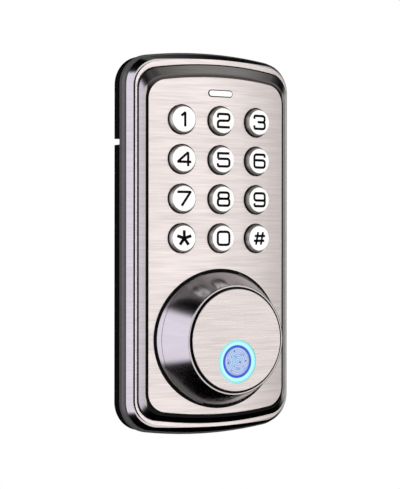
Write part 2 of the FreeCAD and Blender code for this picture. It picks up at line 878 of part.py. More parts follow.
def frame_screws():
    screws = []
    for x, z in frame_screw_places:
        shank = rod(frame_screw_radius, frame_floor_y, cover_floor_y + 1.0, x, z)
        screws.append(shank.fuse(rod(2 * frame_screw_radius, frame_floor_y - 1.2, frame_floor_y, x, z)))
    return Part.makeCompound(screws)


def guide_pins():
    front = surface_y(wall_back, guide_x)
    pins = [
        rod(guide_radius, front, cover_floor_y, side * guide_x, guide_z).common(bow(wall_back - seat_gap))
        for side in (-1, 1)
    ]
    return Part.makeCompound(pins)


# ---------------------------------------------------------------- door side
tail_flange_y = cover_floor_y - 0.1 - tail_flange_thickness


def tailpiece():
    square = block(
        -square_half, square_half, spindle_end_y - 0.7, tail_flange_y, -square_half, square_half
    )
    flange = rod(tail_flange_radius, tail_flange_y, tail_flange_y + tail_flange_thickness)
    journal = rod(journal_radius, tail_flange_y, cover_back_y + 1.6)
    groove = tube(journal_radius + 1, journal_radius - 0.5, tail_clip_y - 0.05, tail_clip_y + 0.75)
    blade = block(
        -blade_thickness / 2, blade_thickness / 2, cover_back_y, blade_reach,
        -blade_width / 2, blade_width / 2,
    )
    return joined([square, flange, journal.cut(groove), blade])


tail_clip_y = cover_back_y + clip_gap


def tailpiece_clip():
    inner = journal_radius - 0.45
    ring = tube(journal_radius + 1.8, inner, tail_clip_y, tail_clip_y + clip_thickness)
    return ring.cut(block(-inner * 0.6, inner * 0.6, tail_clip_y, tail_clip_y + 1, -2 * journal_radius, 0))


def mounting_posts():
    posts = []
    for side in (-1, 1):
        x = side * post_spacing / 2
        flange_y = cover_floor_y - post_flange_thickness
        post = joined([
            rod(post_flange_radius, flange_y, cover_floor_y, x),
            rod(post_radius, flange_y, post_reach, x),
        ])
        posts.append(post.cut(rod(post_thread_radius, cover_floor_y, post_reach, x)))
    return Part.makeCompound(posts)


def wire_grommet():
    lips = [
        rod(grommet_radius + 1.0, y, y + grommet_lip, grommet_x, grommet_z)
        for y in (cover_floor_y - grommet_lip, cover_back_y)
    ]
    neck = rod(grommet_radius, cover_floor_y, cover_back_y, grommet_x, grommet_z)
    hole = rod(grommet_radius - grommet_wall, cover_floor_y - 2, cover_back_y + 2, grommet_x, grommet_z)
    return joined(lips + [neck]).cut(hole)


rear_tip_y = cover_back_y - rear_screw_length


def rear_screw_head(x, z):
    return cone(rear_screw_radius, rear_screw_head_radius, cover_back_y - 1.3, cover_back_y, x, z)


def rear_screws():
    screws = []
    for x, z in rear_screw_places:
        shank = rod(rear_screw_radius, rear_tip_y, cover_back_y - 1.0, x, z)
        screws.append(shank.fuse(rear_screw_head(x, z)))
    return Part.makeCompound(screws)


# ---------------------------------------------------------------- write the nodes
nodes = {
    "front_housing": front_housing,
    "face_plate": face_plate,
    "rear_cover": rear_cover,
    "housing_seal": housing_seal,
    "door_gasket": door_gasket,
    "status_window": status_window,
    "status_led": status_led,
    "key_mat": key_mat,
    "keypad_board": keypad_board,
    "board_screws": board_screws,
    "buzzer": buzzer,
    "harness_socket": harness_socket,
    "knob_collar": knob_collar,
    "collar_seal": collar_seal,
    "knob_bush": knob_bush,
    "spindle_o_ring": spindle_o_ring,
    "knob_shell": knob_shell,
    "knob_face": knob_face,
    "sensor_ring": sensor_ring,
    "sensor_bezel": sensor_bezel,
    "fingerprint_sensor": fingerprint_sensor,
    "sensor_board": sensor_board,
    "knob_spindle": knob_spindle,
    "knob_screws": knob_screws,
    "knob_retaining_ring": knob_retaining_ring,
    "clutch_collar": clutch_collar,
    "clutch_fork": clutch_fork,
    "clutch_nut": clutch_nut,
    "lead_screw": lead_screw,
    "clutch_motor": clutch_motor,
    "clutch_frame": clutch_frame,
    "frame_screws": frame_screws,
    "guide_pins": guide_pins,
    "tailpiece": tailpiece,
    "tailpiece_clip": tailpiece_clip,
    "mounting_posts": mounting_posts,
    "wire_grommet": wire_grommet,
    "rear_screws": rear_screws,
}

os.makedirs("parts", exist_ok=True)
for name, (centre, inward) in zip(key_names, key_places):
    key(centre, inward).exportStep(f"parts/key_{name}.step")
for name, make in nodes.items():
    shape = make()
    shape.exportStep(f"parts/{name}.step")
    valid = shape.isValid() and all(solid.isClosed() for solid in shape.Solids)
    print(f"{name:22s} {len(shape.Solids)} solid(s) {shape.Volume:9.1f} mm3 valid {valid}")
print("mat front", round(mat_front_y, 2), "board back", round(board_back_y, 2))
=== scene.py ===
# %% [markdown]
# # Keypad smart lock: finishes, legends and light
#
# The solid parts of this lock were drawn in CAD and come in as a fixed frame.
# This lesson gives each part its finish, adds the printed legends of the keys
# and the pattern of the finger sensor, and sets up the studio. Everything is in
# metres, with the knob's axis through the origin and the front facing -Y.

import json
import math

import bmesh
import bpy
from mathutils import Matrix, Vector


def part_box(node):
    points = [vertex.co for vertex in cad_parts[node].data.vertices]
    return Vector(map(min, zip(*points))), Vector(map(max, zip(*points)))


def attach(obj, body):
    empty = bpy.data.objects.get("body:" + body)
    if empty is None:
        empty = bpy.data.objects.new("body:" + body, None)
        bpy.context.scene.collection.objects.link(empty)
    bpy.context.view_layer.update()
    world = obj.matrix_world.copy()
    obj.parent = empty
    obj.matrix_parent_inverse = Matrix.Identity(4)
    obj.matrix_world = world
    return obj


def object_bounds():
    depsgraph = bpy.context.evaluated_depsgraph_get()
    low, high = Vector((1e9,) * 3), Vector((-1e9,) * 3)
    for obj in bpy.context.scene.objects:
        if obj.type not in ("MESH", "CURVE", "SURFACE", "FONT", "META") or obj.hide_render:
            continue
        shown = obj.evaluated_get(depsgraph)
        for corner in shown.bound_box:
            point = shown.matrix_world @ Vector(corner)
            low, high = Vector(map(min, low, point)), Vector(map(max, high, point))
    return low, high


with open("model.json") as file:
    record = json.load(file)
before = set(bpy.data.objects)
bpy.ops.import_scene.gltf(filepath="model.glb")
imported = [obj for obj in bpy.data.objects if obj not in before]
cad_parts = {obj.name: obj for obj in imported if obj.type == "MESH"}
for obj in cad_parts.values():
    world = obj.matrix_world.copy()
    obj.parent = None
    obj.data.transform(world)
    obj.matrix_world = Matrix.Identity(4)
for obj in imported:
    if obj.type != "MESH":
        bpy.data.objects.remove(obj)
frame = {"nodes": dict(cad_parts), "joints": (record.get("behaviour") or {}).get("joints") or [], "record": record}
nodes = frame["nodes"]
cad_box = [list(corner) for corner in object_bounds()]
MM = 0.001
size = [round((b - a) / MM, 1) for a, b in zip(*cad_box)]
print(len(nodes), "parts in the frame, overall", size, "mm")

# %% [markdown]
# ## The camera
#
# A product shot of a tall thin object is taken from some way off with a long
# lens, so that the top and bottom don't splay. The lock is seen from its left
# at about thirty degrees, level with its middle. A camera can be aimed with a
# Track To constraint or by writing its matrix. The matrix is used here, because
# it also holds the small tilt that a hand-levelled tripod leaves.

# %% Place the camera
def aimed(yaw, pitch, roll):
    """Camera axes for a look direction; yaw 0 looks along +Y, yaw 90 along +X."""
    forward = Vector((math.sin(yaw) * math.cos(pitch), math.cos(yaw) * math.cos(pitch), math.sin(pitch)))
    level = Vector((math.cos(yaw), -math.sin(yaw), 0))
    up = level.cross(forward)
    right = level * math.cos(roll) + up * math.sin(roll)
    return Matrix((right, right.cross(forward), -forward)).transposed()


lens_mm, sensor_mm = 112.47, 36.0
stand_mm = Vector((-304.62, -533.19, 38.31))
yaw, pitch, roll = 29.861, -0.152, 0.0615

camera_data = bpy.data.cameras.new("studio_camera")
camera_data.lens = lens_mm
camera_data.sensor_width = sensor_mm
camera_data.clip_start = 0.01
camera = bpy.data.objects.new("studio_camera", camera_data)
turn = aimed(math.radians(yaw), math.radians(pitch), math.radians(roll))
camera.matrix_world = Matrix.Translation(stand_mm * MM) @ turn.to_4x4()
bpy.context.scene.collection.objects.link(camera)
bpy.context.scene.camera = camera
print("camera", [round(v, 3) for v in stand_mm * MM], "lens", lens_mm, "mm")

# %% [markdown]
# ## The studio
#
# Polished metal has hardly any colour of its own. It shows the room, so the
# room is what gets designed: a large pale softbox at the left for the long
# bevels and the flank of the knob, a smaller and dimmer one at the right, a
# broad white key light in front and to the right for the brushed face, a dim
# grey ceiling, and darkness in the gaps between them, which draws the crisp
# black lines. Each softbox could be an area light, but then its edge would be
# hard. Painting them into the world as rectangles in angle lets each edge fade
# at its own rate. The camera itself sees plain white paper behind the lock.

# %% Paint the softboxes into the world
world = bpy.data.worlds.new("studio")
bpy.context.scene.world = world
world.use_nodes = True
sky = world.node_tree
sky.nodes.clear()


def math_node(tree, operation, a, b=None):
    node = tree.nodes.new("ShaderNodeMath")
    node.operation = operation
    for socket, value in zip(node.inputs, (a, b)):
        if isinstance(value, (int, float)):
            socket.default_value = value
        elif value is not None:
            tree.links.new(value, socket)
    return node.outputs[0]


def ramp_up(tree, value, low, high):
    """0 below low, 1 above high and a smooth step between them."""
    node = tree.nodes.new("ShaderNodeMapRange")
    node.interpolation_type = "SMOOTHSTEP"
    tree.links.new(value, node.inputs["Value"])
    node.inputs["From Min"].default_value = low
    node.inputs["From Max"].default_value = high
    return node.outputs["Result"]


def band(tree, value, low, high, soft_low, soft_high):
    rise = ramp_up(tree, value, low - soft_low / 2, low + soft_low / 2)
    fall = ramp_up(tree, value, high - soft_high / 2, high + soft_high / 2)
    return math_node(tree, "SUBTRACT", rise, fall)


direction = sky.nodes.new("ShaderNodeTexCoord").outputs["Generated"]
split = sky.nodes.new("ShaderNodeSeparateXYZ")
sky.links.new(direction, split.inputs[0])
to_front = math_node(sky, "MULTIPLY", split.outputs["Y"], -1.0)
degrees = 180 / math.pi
around = math_node(sky, "ARCTAN2", split.outputs["X"], to_front)
azimuth = math_node(sky, "MULTIPLY", around, degrees)
elevation = math_node(sky, "MULTIPLY", math_node(sky, "ARCSINE", split.outputs["Z"]), degrees)

# name: (azimuth from, to, soft, soft), (elevation from, to, soft, soft), colour
softboxes = {
    "key, front right": ((-10, 53, 16, 54), (-28, 30, 20, 20), (1.23, 1.165, 1.145)),
    "left wall": ((-122, -33, 14, 14), (-32, 35, 8, 10), (1.30, 1.22, 1.36)),
    "right wall": ((98, 146, 20, 20), (-19, 19, 14, 14), (0.66, 0.64, 0.62)),
    "ceiling, right": ((14, 110, 56, 60), (36, 76, 14, 26), (0.45, 0.43, 0.41)),
    "ceiling, back": ((110, 200, 40, 30), (44, 90, 16, 10), (0.12, 0.12, 0.12)),
}


def softbox_sum(tree, boxes):
    total = None
    for across, upright, colour in boxes.values():
        mask = math_node(tree, "MULTIPLY", band(tree, azimuth, *across), band(tree, elevation, *upright))
        tint = tree.nodes.new("ShaderNodeVectorMath")
        tint.operation = "SCALE"
        tint.inputs[0].default_value = colour
        tree.links.new(mask, tint.inputs["Scale"])
        if total is None:
            total = tint.outputs[0]
            continue
        add = tree.nodes.new("ShaderNodeVectorMath")
        tree.links.new(total, add.inputs[0])
        tree.links.new(tint.outputs[0], add.inputs[1])
        total = add.outputs[0]
    return total


def background(tree, colour, strength=1.0):
    node = tree.nodes.new("ShaderNodeBackground")
    node.inputs["Strength"].default_value = strength
    if isinstance(colour, tuple):
        node.inputs["Color"].default_value = (*colour, 1)
    else:
        tree.links.new(colour, node.inputs["Color"])
    return node.outputs[0]


def choose(tree, factor, first, second):
    node = tree.nodes.new("ShaderNodeMixShader")
    tree.links.new(factor, node.inputs[0])
    tree.links.new(first, node.inputs[1])
    tree.links.new(second, node.inputs[2])
    return node.outputs[0]


rays = sky.nodes.new("ShaderNodeLightPath").outputs
reflected = background(sky, softbox_sum(sky, softboxes))
matt_fill = background(sky, (1.0, 0.985, 0.98), 0.98)
paper = background(sky, (1.0, 1.0, 1.0))
lit = choose(sky, rays["Is Diffuse Ray"], reflected, matt_fill)
seen = choose(sky, rays["Is Camera Ray"], lit, paper)
world_out = sky.nodes.new("ShaderNodeOutputWorld")
sky.links.new(seen, world_out.inputs["Surface"])
bpy.context.scene.view_settings.view_transform = "Standard"
print(len(softboxes), "softboxes")

# %% [markdown]
# A pale floor stands well below the lock, because a lock hangs on a door and
# rests on nothing. It is kept out of the mirror-like reflections, much
# as black card is laid under a glossy product in a studio.

# %% Lay the floor
def disc_mesh(name, radius, centre, sides=96):
    mesh = bpy.data.meshes.new(name)
    shape = bmesh.new()
    bmesh.ops.create_circle(shape, cap_ends=True, radius=radius, segments=sides)
    bmesh.ops.translate(shape, verts=shape.verts, vec=centre)
    shape.to_mesh(mesh)
    shape.free()
    return mesh


floor_z, floor_radius = -0.16, 0.42
floor_mesh = disc_mesh("studio_floor", floor_radius, Vector((0, 0, floor_z)))
floor = bpy.data.objects.new("studio_floor", floor_mesh)
bpy.context.scene.collection.objects.link(floor)
floor.visible_glossy = False
print("floor at", round(floor_z / MM), "mm")

# %% [markdown]
# ## Finishes
#
# Every finish starts from the same Principled shader. The even values go
# straight on its sockets. What varies over the surface, such as the streaks of
# a brushed plate, comes from noise textures in the part's own coordinates, so
# the pattern stays with the part when it moves.

# %% Helpers for finishes
def new_finish(name, colour, metallic=0.0, roughness=0.5, **even):
    material = bpy.data.materials.new(name)
    material.use_nodes = True
    shader = material.node_tree.nodes["Principled BSDF"]
    shader.inputs["Base Color"].default_value = (*colour, 1)
    shader.inputs["Metallic"].default_value = metallic
    shader.inputs["Roughness"].default_value = roughness
    for key, value in even.items():
        socket = shader.inputs[key.replace("_", " ")]
        socket.default_value = (*value, 1) if isinstance(value, tuple) else value
    return material, material.node_tree, shader


def part_noise(tree, scale, detail=2.0, stretch=(1, 1, 1)):
    """Noise over the part, scale in features per metre, finer along stretched axes."""
    place = tree.nodes.new("ShaderNodeTexCoord").outputs["Object"]
    mapping = tree.nodes.new("ShaderNodeMapping")
    mapping.inputs["Scale"].default_value = [scale * s for s in stretch]
    tree.links.new(place, mapping.inputs["Vector"])
    noise = tree.nodes.new("ShaderNodeTexNoise")
    noise.inputs["Scale"].default_value = 1.0
    noise.inputs["Detail"].default_value = detail
    tree.links.new(mapping.outputs[0], noise.inputs["Vector"])
    return noise.outputs["Fac"]


def between(tree, value, low, high, span=(0.3, 0.7)):
    """Spreads the middle of a noise over low..high, where both may be colours."""
    ramp = tree.nodes.new("ShaderNodeValToRGB")
    for stop, where, tone in zip(ramp.color_ramp.elements, span, (low, high)):
        stop.position = where
        stop.color = (*tone, 1) if isinstance(tone, tuple) else (tone, tone, tone, 1)
    tree.links.new(value, ramp.inputs[0])
    return ramp.outputs["Color"]


def bumped(tree, shader, height, depth, strength=1.0):
    bump = tree.nodes.new("ShaderNodeBump")
    bump.inputs["Strength"].default_value = strength
    bump.inputs["Distance"].default_value = depth
    tree.links.new(height, bump.inputs["Height"])
    tree.links.new(bump.outputs[0], shader.inputs["Normal"])


def scaled(colour, factor):
    return tuple(c * factor for c in colour)


def drive(shader, socket, output):
    """Feeds one socket of a shader from a node's output."""
    shader.id_data.links.new(output, shader.inputs[socket])


def show(tree, surface):
    """Makes this shader the material's surface."""
    tree.links.new(surface, tree.nodes["Material Output"].inputs["Surface"])


finishes = {}

# %% [markdown]
# ### Brushed satin nickel
#
# The plate, the ledge and the disc of the knob are nickel with a grain rubbed
# from side to side. A brushed metal can be faked with the anisotropy slider,
# but that only stretches the highlight. The eye looks for the streaks, so they
# are made from noise that is many times longer than it is high, once wide and
# once fine, driving the colour, the roughness and a very shallow bump.
# The scratches also scatter some light every way, so the finish isn't wholly
# metallic and stays readable when it faces away from the key light.

# %% Brushed nickel
nickel_tone = (0.86, 0.815, 0.80)


def add_grain(tree, shader, tone, rough=(0.30, 0.42), contrast=0.10):
    wide = part_noise(tree, 45, 1.0, (1, 1, 14))
    fine = part_noise(tree, 70, 3.0, (1, 1, 34))
    wide_share = math_node(tree, "MULTIPLY", wide, 0.30)
    fine_share = math_node(tree, "MULTIPLY", fine, 0.70)
    both = math_node(tree, "ADD", wide_share, fine_share)
    middle = (0.36, 0.62)
    dark = scaled(tone, 1 - contrast)
    drive(shader, "Base Color", between(tree, both, dark, scaled(tone, 1.04), middle))
    drive(shader, "Roughness", between(tree, both, rough[1], rough[0], middle))
    bumped(tree, shader, fine, 0.00002, 0.35)
    shader.inputs["Metallic"].default_value = 0.78


nickel, tree, shader = new_finish("brushed nickel", nickel_tone, 1.0, 0.35)
add_grain(tree, shader, nickel_tone)
finishes["brushed_nickel"] = nickel
print("grain pitch about", round(1000 / 70 / 34, 2), "mm")

# %% [markdown]
# ### Polished dark metal
#
# The bevels and the flank of the knob are plated in a dark, glossy metal. A
# mirror with a slightly soft polish shows the softboxes with a short blur at
# their edges. Very faint cross lines keep the long bevels from looking like
# plastic.

# %% Dark polished metal
dark_tone = (0.56, 0.545, 0.56)


def add_polish(tree, shader, tone):
    wide = part_noise(tree, 40, 2.0, (1, 1, 4))
    fine = part_noise(tree, 45, 2.0, (1, 1, 34))
    drive(shader, "Base Color", between(tree, fine, scaled(tone, 0.93), scaled(tone, 1.05)))
    drive(shader, "Roughness", between(tree, wide, 0.12, 0.19))
    bumped(tree, shader, fine, 0.00001, 0.2)


dark_metal, tree, shader = new_finish("polished dark metal", dark_tone, 1.0, 0.15)
add_polish(tree, shader, dark_tone)
finishes["polished_dark_metal"] = dark_metal

# %% [markdown]
# ### One housing, two finishes
#
# The front housing is a single casting: polished on its bevels and brushed on
# the narrow ledge that faces forward. The little steps between them are painted
# black as shade, and so is the groove in which the face plate lies. They could
# be split into separate meshes, or painted by vertex. Masks from the shape are
# simpler and exact: the ledge and the groove's floor each lie on a cylinder of
# known radius, and only the steps face sideways.

# %% Masks from the shape
def coordinates(tree):
    """The part's own x, y and z, in metres."""
    parts = tree.nodes.new("ShaderNodeSeparateXYZ")
    tree.links.new(tree.nodes.new("ShaderNodeTexCoord").outputs["Object"], parts.inputs[0])
    return parts.outputs["X"], parts.outputs["Y"], parts.outputs["Z"]


def in_mm(tree, value):
    return math_node(tree, "MULTIPLY", value, 1 / MM)


def product(tree, *factors):
    total = factors[0]
    for factor in factors[1:]:
        total = math_node(tree, "MULTIPLY", total, factor)
    return total


def length(tree, a, b):
    """Long side of a right-angled triangle with these two short sides."""
    square = math_node(tree, "ADD", product(tree, a, a), product(tree, b, b))
    return math_node(tree, "SQRT", square)


def facing_front(tree, low, high):
    """1 where the surface faces the front, 0 on anything that leans away."""
    parts = tree.nodes.new("ShaderNodeSeparateXYZ")
    tree.links.new(tree.nodes.new("ShaderNodeTexCoord").outputs["Normal"], parts.inputs[0])
    return ramp_up(tree, math_node(tree, "MULTIPLY", parts.outputs["Y"], -1.0), low, high)


def depth_behind_bow(tree, radius, apex):
    """How far a point lies behind an upright cylinder, both in millimetres."""
    x, y, _ = coordinates(tree)
    reach = math_node(tree, "SUBTRACT", (radius * MM) ** 2, product(tree, x, x))
    front = math_node(tree, "SUBTRACT", (apex + radius) * MM, math_node(tree, "SQRT", reach))
    return in_mm(tree, math_node(tree, "SUBTRACT", y, front))


def distance_from_axis(tree):
    """Distance from the knob's axis, in millimetres."""
    x, _, z = coordinates(tree)
    return in_mm(tree, length(tree, x, z))


# %% [markdown]
# Where two finishes meet on one part, each needs a whole shader of its own and a
# mask that chooses between them. Blending two colours in one shader would be
# lighter, but metal and paint differ in more than colour. So here is a metal
# with whichever grain it is given, and a dull black that paints shade into
# edges and grooves.

# %% Shaders for the mixed finishes
def metal_shader(tree, grain, tone, roughness, *rest):
    shader = tree.nodes.new("ShaderNodeBsdfPrincipled")
    shader.inputs["Base Color"].default_value = (*tone, 1)
    shader.inputs["Metallic"].default_value = 1.0
    shader.inputs["Roughness"].default_value = roughness
    grain(tree, shader, tone, *rest)
    return shader.outputs[0]


# a dull black that paints shade into edges, steps and grooves
shade_black_tone = (0.003, 0.003, 0.003)


def shade_black_shader(tree, roughness=0.6):
    shader = tree.nodes.new("ShaderNodeBsdfPrincipled")
    shader.inputs["Base Color"].default_value = (*shade_black_tone, 1)
    shader.inputs["Roughness"].default_value = roughness
    shader.inputs["Specular IOR Level"].default_value = 0.2
    return shader.outputs[0]


# %% [markdown]
# ### The front housing
#
# Outer bevel, ledge and inner bevel follow one another inwards, each at its own
# depth. So the depth behind the ledge's cylinder tells the bevels apart, and the
# direction of the surface picks out the ledge and the steps. Faces could be
# picked by hand instead, but they would have to be picked again after every
# change to the part.

# %% Front housing
ledge_radius, ledge_apex = 193.0, -15.7
face_radius, face_apex = 165.0, -18.6
bevel_polish, inner_bevel_painted_shade = 0.15, 0.80
bevel_starts = (-0.5, -0.4)
ledge_depths = (-0.15, 0.15)
foot_depths = (-1.02, -0.20)

housing_finish, tree, shader = new_finish("housing, polished and brushed", dark_tone, 1.0, bevel_polish)
add_polish(tree, shader, dark_tone)

# the inner bevel stands in front of the ledge and is painted darker than the outer one: painted shade
behind_ledge = depth_behind_bow(tree, ledge_radius, ledge_apex)
painted_darker_inner_bevel = metal_shader(tree, add_polish, scaled(dark_tone, inner_bevel_painted_shade), bevel_polish)
look = choose(tree, ramp_up(tree, behind_ledge, *bevel_starts), painted_darker_inner_bevel, shader.outputs[0])

at_ledge_depth = band(tree, behind_ledge, *ledge_depths, 0.02, 0.02)
on_ledge = product(tree, at_ledge_depth, facing_front(tree, 0.90, 0.93))
brushed = metal_shader(tree, add_grain, nickel_tone, 0.3, (0.26, 0.36), 0.06)
look = choose(tree, on_ledge, look, brushed)

# painted shade: the foot of the inner bevel and every step that faces sideways are black
look = choose(tree, band(tree, behind_ledge, *foot_depths, 0.03, 0.03), look, shade_black_shader(tree))
look = choose(tree, facing_front(tree, 0.15, 0.25), shade_black_shader(tree), look)
print("ledge bowed to a radius of", ledge_radius, "mm, brushed; bevels polished, steps black")

# %% [markdown]
# The groove lets the plate stand free of the housing, so that it looks like a
# separate sheet of metal. Its floor and the narrow lip beside it face forward
# and would shine as pale lines. Deepening the groove would cost wall thickness,
# so they are painted dark instead, as painted shade. Along the top, where a real
# bevel would show the ceiling, the paint is a lighter grey, a painted reflection.

# %% Groove round the face plate
face_radius, face_apex = 165.0, -18.6
floor_depths = (0.80, 1.20)
lip_depths = (0.30, 0.80)
lip_ends = (30.4, 31.2)
grey_from, grey_to = 96, 102
ceiling_reflection_grey = (0.13, 0.12, 0.115)

x, _, z = coordinates(tree)
behind_face = depth_behind_bow(tree, face_radius, face_apex)
groove_floor = band(tree, behind_face, *floor_depths, 0.04, 0.04)
from_middle = math_node(tree, "ABSOLUTE", in_mm(tree, x))
end_runs = math_node(tree, "SUBTRACT", 1.0, ramp_up(tree, from_middle, *lip_ends))
lip = product(tree, band(tree, behind_face, *lip_depths, 0.04, 0.04), end_runs)
in_groove = product(tree, math_node(tree, "ADD", groove_floor, lip), facing_front(tree, 0.935, 0.955))

# painted shade in the groove, turning to a painted reflection of the ceiling along the top
groove = shade_black_shader(tree)
reflection_at_top = ramp_up(tree, in_mm(tree, z), grey_from, grey_to)
drive(groove.node, "Base Color", between(tree, reflection_at_top, shade_black_tone, ceiling_reflection_grey, (0, 1)))
look = choose(tree, in_groove, look, groove)
show(tree, look)
print("groove dark up to", grey_from, "mm above the knob's axis, grey above", grey_to, "mm")

# %% [markdown]
# ### The face plate
#
# The plate has the same brushed nickel as the ledge. The edge of the status slot
# is painted dark as shade, and so are the cut edges of the plate and its holes.
# A thin bevel in the mesh would catch the light and look bright, so the line of
# shade is painted: a mask on the distance from the slot's middle line gives it
# an even width.

# %% Face plate
slot_low, slot_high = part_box("status_window")
lens_flange = 0.75
slot_shade_width = 0.30
slot_half_height = (slot_high.z - slot_low.z) / 2 / MM - lens_flange
slot_reach = (slot_high.x - slot_low.x) / 2 / MM - lens_flange - slot_half_height


def distance_from_slot(tree):
    """Distance from the middle line of the slot, in millimetres."""
    x, _, z = coordinates(tree)
    along = math_node(tree, "ABSOLUTE", in_mm(tree, x))
    past_end = math_node(tree, "MAXIMUM", math_node(tree, "SUBTRACT", along, slot_reach), 0.0)
    middle = (slot_low.z + slot_high.z) / 2
    upright = in_mm(tree, math_node(tree, "SUBTRACT", z, middle))
    return length(tree, past_end, upright)


plate_finish, tree, shader = new_finish("face plate, brushed", nickel_tone, 1.0, 0.35)
add_grain(tree, shader, nickel_tone)
# painted shade round the slot, and on the plate's cut edges below
slot_shade_line = band(tree, distance_from_slot(tree), 0.0, slot_half_height + slot_shade_width, 0.02, 0.04)
look = choose(tree, slot_shade_line, shader.outputs[0], shade_black_shader(tree))
look = choose(tree, facing_front(tree, 0.5, 0.6), shade_black_shader(tree), look)
show(tree, look)
slot_size = [round(2 * v, 2) for v in (slot_reach + slot_half_height, slot_half_height)]
print("status slot", slot_size, "mm")

# %% [markdown]
# ### Plastics, rubber and small metal parts
#
# The rear cover is a dark grey bead with a satin shine, and the gasket behind
# it is dead black rubber. Inside are boards, screws, a motor and moulded parts.
# A flat colour would do from afar, but from close up even a plain plastic has a
# fine speckle. One helper makes them all, because only the tone, the shine and
# the scale of the speckle differ.

# %% Plastics and rubber
WHITE = (1.0, 1.0, 1.0)


def speckled(name, tone, roughness, contrast=0.08, scale=900, depth=0.00001, **even):
    material, tree, shader = new_finish(name, tone, even.pop("metallic", 0.0), roughness, **even)
    grain = part_noise(tree, scale, 3.0)
    darker, lighter = scaled(tone, 1 - contrast), scaled(tone, 1 + contrast)
    drive(shader, "Base Color", between(tree, grain, darker, lighter))
    drive(shader, "Roughness", between(tree, grain, roughness * 0.9, roughness * 1.1))
    bumped(tree, shader, grain, depth, 0.3)
    return material


finishes["grey_cover"] = speckled("satin grey cover", (0.085, 0.084, 0.082), 0.30)
finishes["black_rubber"] = speckled("black rubber", (0.004, 0.004, 0.004), 0.62, 0.2, 1200,
                                    Specular_IOR_Level=0.04)
finishes["black_plastic"] = speckled("black plastic", (0.012, 0.012, 0.013), 0.42)
finishes["silicone"] = speckled("grey silicone", (0.32, 0.33, 0.34), 0.55)
finishes["acetal"] = speckled("white acetal", (0.80, 0.79, 0.76), 0.38)
finishes["steel"] = speckled("zinc plated steel", (0.58, 0.58, 0.57), 0.30, 0.10, 1500, metallic=1.0)
finishes["brass"] = speckled("turned brass", (0.66, 0.46, 0.20), 0.28, 0.08, 1500, metallic=1.0)
finishes["motor_can"] = speckled("motor can", (0.62, 0.62, 0.63), 0.24, 0.05, 800, metallic=1.0)
finishes["circuit_board"] = speckled("green circuit board", (0.012, 0.12, 0.05), 0.34, 0.25, 500)
# painted light: the white lens glows weakly, with no lamp behind it
finishes["white_lens"] = speckled("white lens", (0.93, 0.93, 0.93), 0.22, 0.01, 900,
                                  Emission_Color=WHITE, Emission_Strength=0.22)
finishes["blue_ring"] = speckled("blue ring", (0.03, 0.06, 0.52), 0.25, 0.15, 1200,
                                 Emission_Color=(0.02, 0.07, 0.55), Emission_Strength=0.30)
print(len(finishes), "finishes so far")

# %% [markdown]
# ### The sensor's glass
#
# The sensor shows a lavender ground that drifts into blue. Real glass over a lit
# sensor would need many light bounces to show it, so the colour sits on an
# opaque surface under a thin clear coat. Soft, wide noise moves it between the
# two tones, and a weak glow stands for the light behind it.

# %% Sensor glass
glass, tree, shader = new_finish("sensor glass", (0.40, 0.44, 0.66), 0.0, 0.12, Coat_Weight=0.2,
                                 Emission_Color=(0.14, 0.17, 0.34), Emission_Strength=0.3)
cloud = part_noise(tree, 260, 1.0)
drive(shader, "Base Color", between(tree, cloud, (0.38, 0.40, 0.68), (0.20, 0.46, 0.72)))
finishes["sensor_glass"] = glass
print("cloud about", round(1000 / 260, 1), "mm across")

# %% [markdown]
# ### The status window
#
# The window is a milky light pipe that fills the slot of the face plate. Its
# glow is faint, so it reads as white plastic. It could be made translucent with
# a lamp behind it, but that is slow to render for so small a piece. A weak
# painted glow keeps it white without a lamp, and its sides are painted black as
# shade so that it ends cleanly.

# %% Status window
# painted light: a weak white glow with no lamp behind it
window_finish, tree, shader = new_finish("status window", (0.93, 0.93, 0.93), 0.0, 0.22,
                                         Emission_Color=WHITE, Emission_Strength=0.22)
haze = part_noise(tree, 900, 2.0)
drive(shader, "Base Color", between(tree, haze, (0.91, 0.91, 0.91), (0.94, 0.94, 0.94)))
# painted shade: the window's sides are black
look = choose(tree, facing_front(tree, 0.5, 0.6), shade_black_shader(tree), shader.outputs[0])
show(tree, look)
print("window", [round(v / MM, 2) for v in slot_high - slot_low], "mm with its flange")

# %% [markdown]
# ### The keys
#
# A key has a bright white face in a grey metallised skirt. Two materials on
# chosen faces would do, but the front-facing mask needs no faces picked by hand.
# The skirt darkens towards the plate, where a real one lies in the shade of its
# own hole, so its colour follows the height above the face.

# %% Keys
white_tone = (0.94, 0.94, 0.94)
skirt_foot, skirt_rim = 0.1, 1.9
skirt_dark, skirt_grey = (0.004, 0.004, 0.004), (0.62, 0.63, 0.58)

# painted light: the key's face glows weakly white, with no lamp behind it, to stay bright
key_finish, tree, shader = new_finish("key, white face and grey skirt", white_tone, 0.0, 0.28,
                                      Emission_Color=WHITE, Emission_Strength=0.20)
haze = part_noise(tree, 700, 2.0)
drive(shader, "Base Color", between(tree, haze, scaled(white_tone, 0.985), white_tone))

skirt = tree.nodes.new("ShaderNodeBsdfPrincipled")
skirt.inputs["Metallic"].default_value = 1.0
skirt.inputs["Roughness"].default_value = 0.42
height = math_node(tree, "MULTIPLY", depth_behind_bow(tree, face_radius, face_apex), -1.0)
rise = ramp_up(tree, height, skirt_foot, skirt_rim)
drive(skirt, "Base Color", between(tree, rise, skirt_dark, skirt_grey, (0.05, 0.95)))
look = choose(tree, facing_front(tree, 0.52, 0.60), skirt.outputs[0], shader.outputs[0])
show(tree, look)
finishes["key_metal"] = key_finish
print("skirt grey", skirt_rim, "mm above the face, dark at its foot")

# %% [markdown]
# ### The knob
#
# The flank of the knob is polished up its slope, so its faint streaks run from
# the foot to the rim. The noise of the other finishes lies in straight lines and
# would cut across the cone. Here it is laid over the angle round the axis and
# the depth along it, so the streaks follow the cone all the way round.

# %% Polish of the knob
streaks_per_radian, streaks_per_metre = 9.0, 60.0


